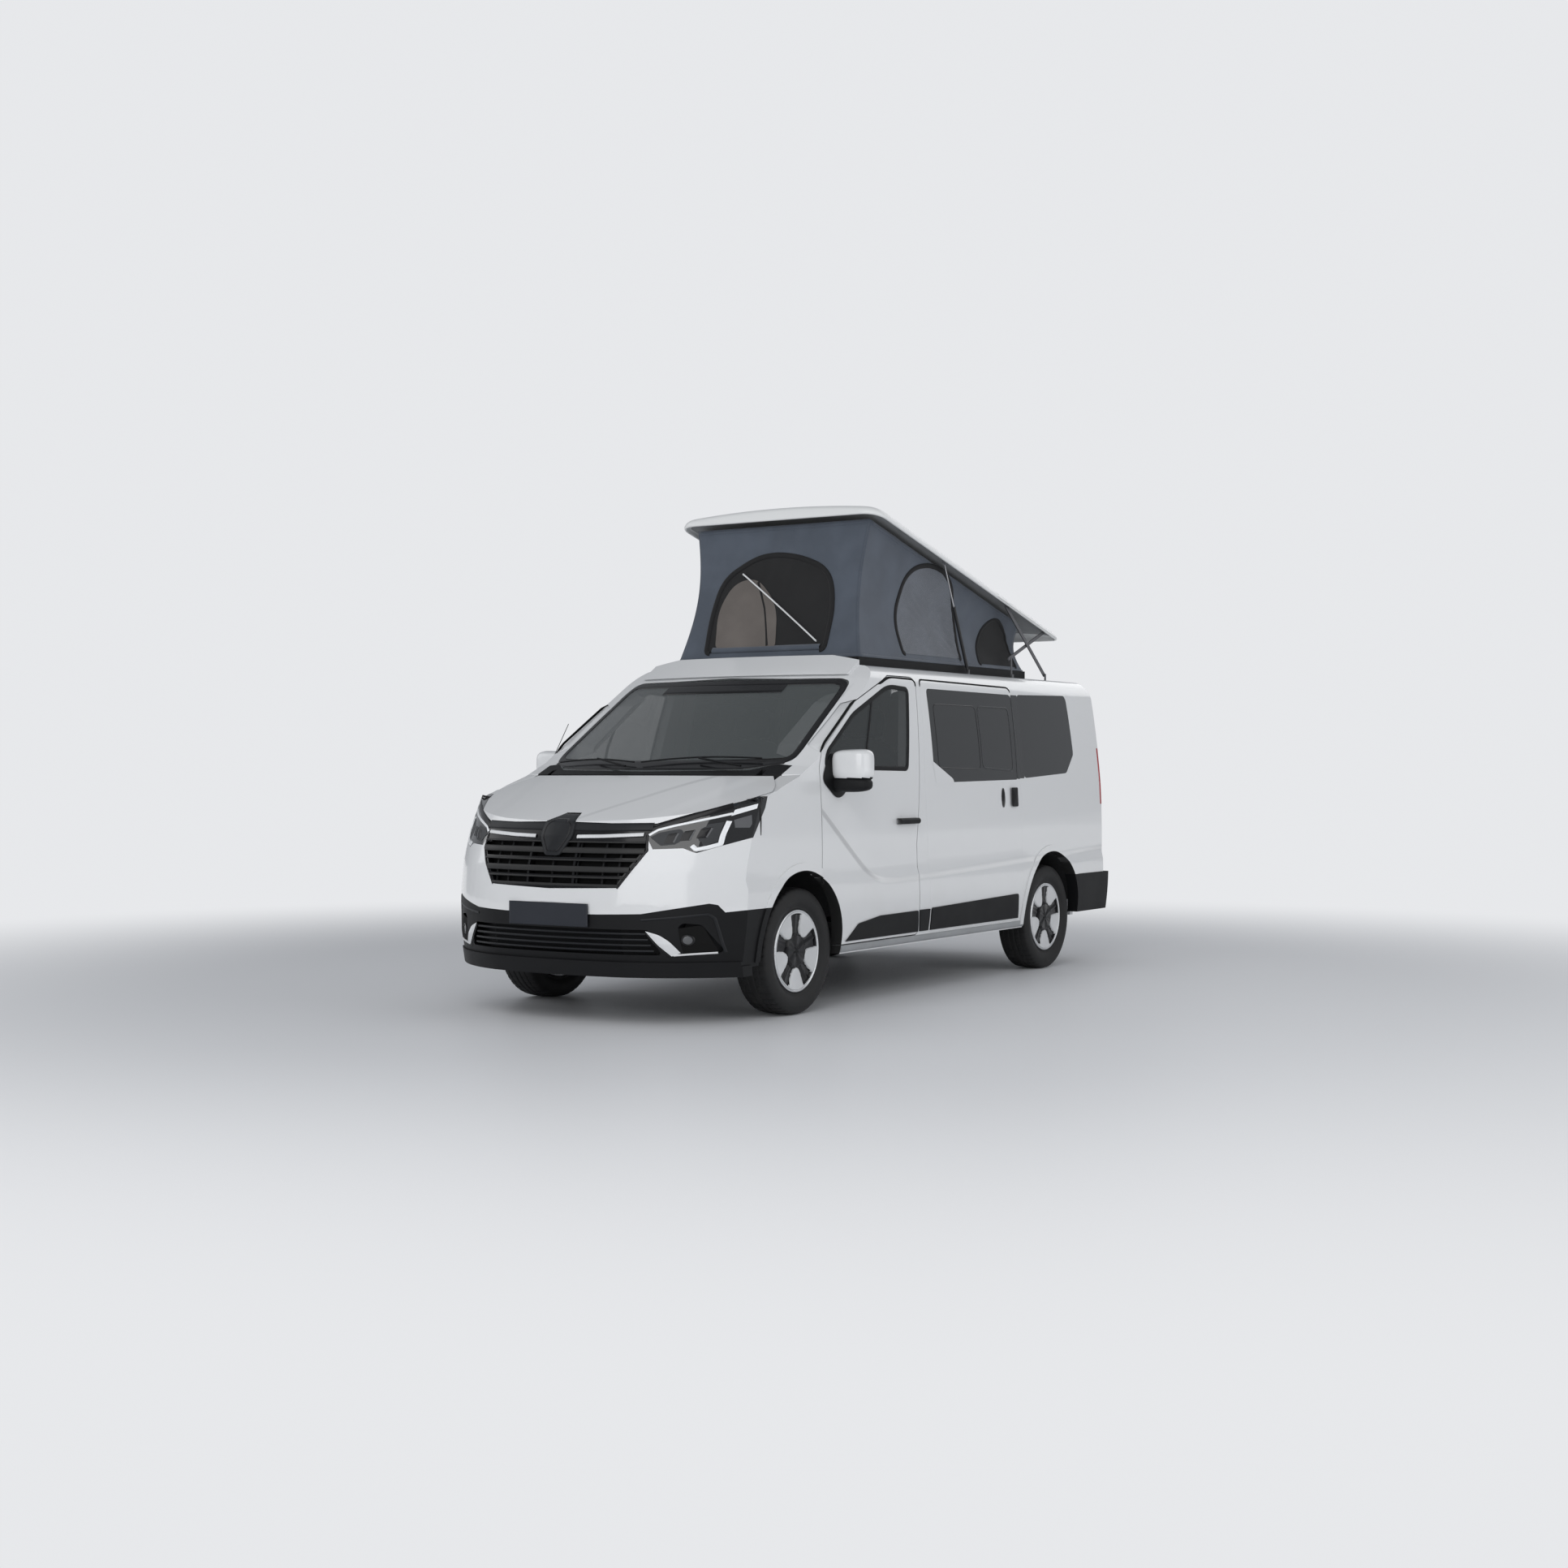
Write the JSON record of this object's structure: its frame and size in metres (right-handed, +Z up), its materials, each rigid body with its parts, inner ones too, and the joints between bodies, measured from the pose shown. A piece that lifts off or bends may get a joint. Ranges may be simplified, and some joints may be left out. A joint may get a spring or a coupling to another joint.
{
  "type": "camper van",
  "caption": "Mid-size camper van with a rear-hinged raising roof, canvas tent walls, opening doors, bonnet and tailgate, and steered road wheels.",
  "frame": {"origin": "on the ground, midway along the length and the width", "axes": "+Z up, the front faces -Y, the vehicle's left side is +X"},
  "size_m": [2.3234, 5.0782, 2.9233],
  "materials": {
    "white_paint": "gloss",
    "black_plastic": "satin",
    "gloss_black": "gloss",
    "lamp_glass": "gloss",
    "red_lens": "gloss",
    "tinted_glass": "gloss",
    "clear_glass": "gloss",
    "underbody_steel": "matte",
    "steel": "satin",
    "cast": "matte",
    "roof_gelcoat": "gloss",
    "grey_steel": "satin",
    "black_steel": "satin",
    "canvas": "woven",
    "dash_plastic": "matte",
    "seat_fabric": "woven",
    "cabinet_board": "satin laminate",
    "tyre": "matte",
    "alloy": "machined"
  },
  "bodies": {
    "van": {"body_side_left": "white_paint", "body_side_right": "white_paint", "bumper_cover": "white_paint", "canvas": "canvas", "canvas_rail": "black_plastic", "dashboard": "dash_plastic", "engine": "cast", "exhaust": "steel", "floor_pan": "underbody_steel", "front_bumper": "black_plastic", "front_seats": "seat_fabric", "front_struts": "steel", "front_subframe": "underbody_steel", "front_wings": "white_paint", "fuel_tank": "black_plastic", "grille": "gloss_black", "headlamps": "lamp_glass", "kitchen_cabinet": "cabinet_board", "rear_axle": "underbody_steel", "rear_bench": "seat_fabric", "rear_bumper": "black_plastic", "rear_panel": "white_paint", "roof_brackets": "grey_steel", "roof_fairing": "white_paint", "roof_panel": "white_paint", "scuttle": "black_plastic", "side_glass": "tinted_glass", "side_mouldings": "black_plastic", "sliding_door": "white_paint", "steering_wheel": "dash_plastic", "tail_lamps": "red_lens", "windscreen": "clear_glass"},
    "bonnet": {"bonnet": "white_paint"},
    "tailgate": {"tailgate": "white_paint", "tailgate_glass": "tinted_glass"},
    "door_left": {"front_door_left": "white_paint", "front_door_glass_left": "clear_glass", "door_moulding_left": "black_plastic", "mirror_left": "white_paint"},
    "door_right": {"front_door_right": "white_paint", "front_door_glass_right": "clear_glass", "door_moulding_right": "black_plastic", "mirror_right": "white_paint"},
    "steer_left": {"knuckle_left": "cast"},
    "steer_right": {"knuckle_right": "cast"},
    "wheel_front_left": {"tyre_front_left": "tyre", "rim_front_left": "alloy"},
    "wheel_front_right": {"tyre_front_right": "tyre", "rim_front_right": "alloy"},
    "wheel_rear_left": {"tyre_rear_left": "tyre", "rim_rear_left": "alloy"},
    "wheel_rear_right": {"tyre_rear_right": "tyre", "rim_rear_right": "alloy"},
    "roof": {"roof_shell": "roof_gelcoat"},
    "arms": {"scissor_arms": "grey_steel"},
    "links": {"scissor_links": "grey_steel"},
    "posts": {"scissor_posts": "grey_steel"},
    "strut_bodies": {"strut_barrels": "black_steel"},
    "strut_pistons": {"strut_rods": "steel"}
  },
  "joints": [
    {"name": "steer_left", "type": "hinge", "parent": "van", "child": "steer_left", "pos_m": [0.668, -1.526, 0.343], "axis": [0, 0, 1], "range_deg": [-30, 30]},
    {"name": "steer_right", "type": "hinge", "parent": "van", "child": "steer_right", "pos_m": [-0.668, -1.526, 0.343], "axis": [0, 0, 1], "range_deg": [-30, 30]},
    {"name": "spin_front_left", "type": "hinge", "parent": "steer_left", "child": "wheel_front_left", "pos_m": [0.808, -1.526, 0.343], "axis": [1, 0, 0], "continuous": true},
    {"name": "spin_front_right", "type": "hinge", "parent": "steer_right", "child": "wheel_front_right", "pos_m": [-0.808, -1.526, 0.343], "axis": [1, 0, 0], "continuous": true},
    {"name": "spin_rear_left", "type": "hinge", "parent": "van", "child": "wheel_rear_left", "pos_m": [0.814, 1.572, 0.343], "axis": [1, 0, 0], "continuous": true},
    {"name": "spin_rear_right", "type": "hinge", "parent": "van", "child": "wheel_rear_right", "pos_m": [-0.814, 1.572, 0.343], "axis": [1, 0, 0], "continuous": true},
    {"name": "door_left", "type": "hinge", "parent": "van", "child": "door_left", "pos_m": [0.938, -1.295, 0.988], "axis": [0, 0, -1], "range_deg": [0, 68]},
    {"name": "door_right", "type": "hinge", "parent": "van", "child": "door_right", "pos_m": [-0.938, -1.295, 0.988], "axis": [0, 0, 1], "range_deg": [0, 68]},
    {"name": "bonnet_lift", "type": "hinge", "parent": "van", "child": "bonnet", "pos_m": [0, -1.592, 1.27], "axis": [-1, 0, 0], "range_deg": [0, 55]},
    {"name": "tailgate_lift", "type": "hinge", "parent": "van", "child": "tailgate", "pos_m": [0, 2.352, 1.858], "axis": [1, 0, 0], "range_deg": [0, 85]},
    {"name": "roof_lift", "type": "hinge", "parent": "van", "child": "arms", "pos_m": [0, 1.966, 1.966], "axis": [1, 0, 0], "range_deg": [0, 36.5], "deforming": ["canvas"]},
    {"name": "roof_tilt", "type": "hinge", "parent": "arms", "child": "roof", "pos_m": [0, 1.38079, 2.39903], "axis": [1, 0, 0], "range_deg": [-22.3, 0]},
    {"name": "link_turn", "type": "hinge", "parent": "arms", "child": "links", "pos_m": [0, 1.70877, 2.15634], "axis": [1, 0, 0], "range_deg": [-57.6, 0]},
    {"name": "post_turn", "type": "hinge", "parent": "van", "child": "posts", "pos_m": [0, 1.44, 1.947], "axis": [1, 0, 0], "range_deg": [0, 77.6]},
    {"name": "strut_turn", "type": "hinge", "parent": "van", "child": "strut_bodies", "pos_m": [0, 0.902, 1.953], "axis": [1, 0, 0], "range_deg": [0, 61.5]},
    {"name": "strut_slide", "type": "slide", "parent": "strut_bodies", "child": "strut_pistons", "axis": [0, -0.4337, 0.9011], "range_m": [-0.245, 0]}
  ],
  "couplings": [
    {"joint": "steer_right", "follows": "steer_left", "ratio": 1},
    {"joint": "roof_tilt", "follows": "roof_lift", "ratio": -0.6082},
    {"joint": "link_turn", "follows": "roof_lift", "ratio": -1.5726},
    {"joint": "post_turn", "follows": "roof_lift", "ratio": 2.1233},
    {"joint": "strut_turn", "follows": "roof_lift", "ratio": 1.6795},
    {"joint": "strut_slide", "follows": "roof_lift", "m_per_rad": -0.3829}
  ]
}
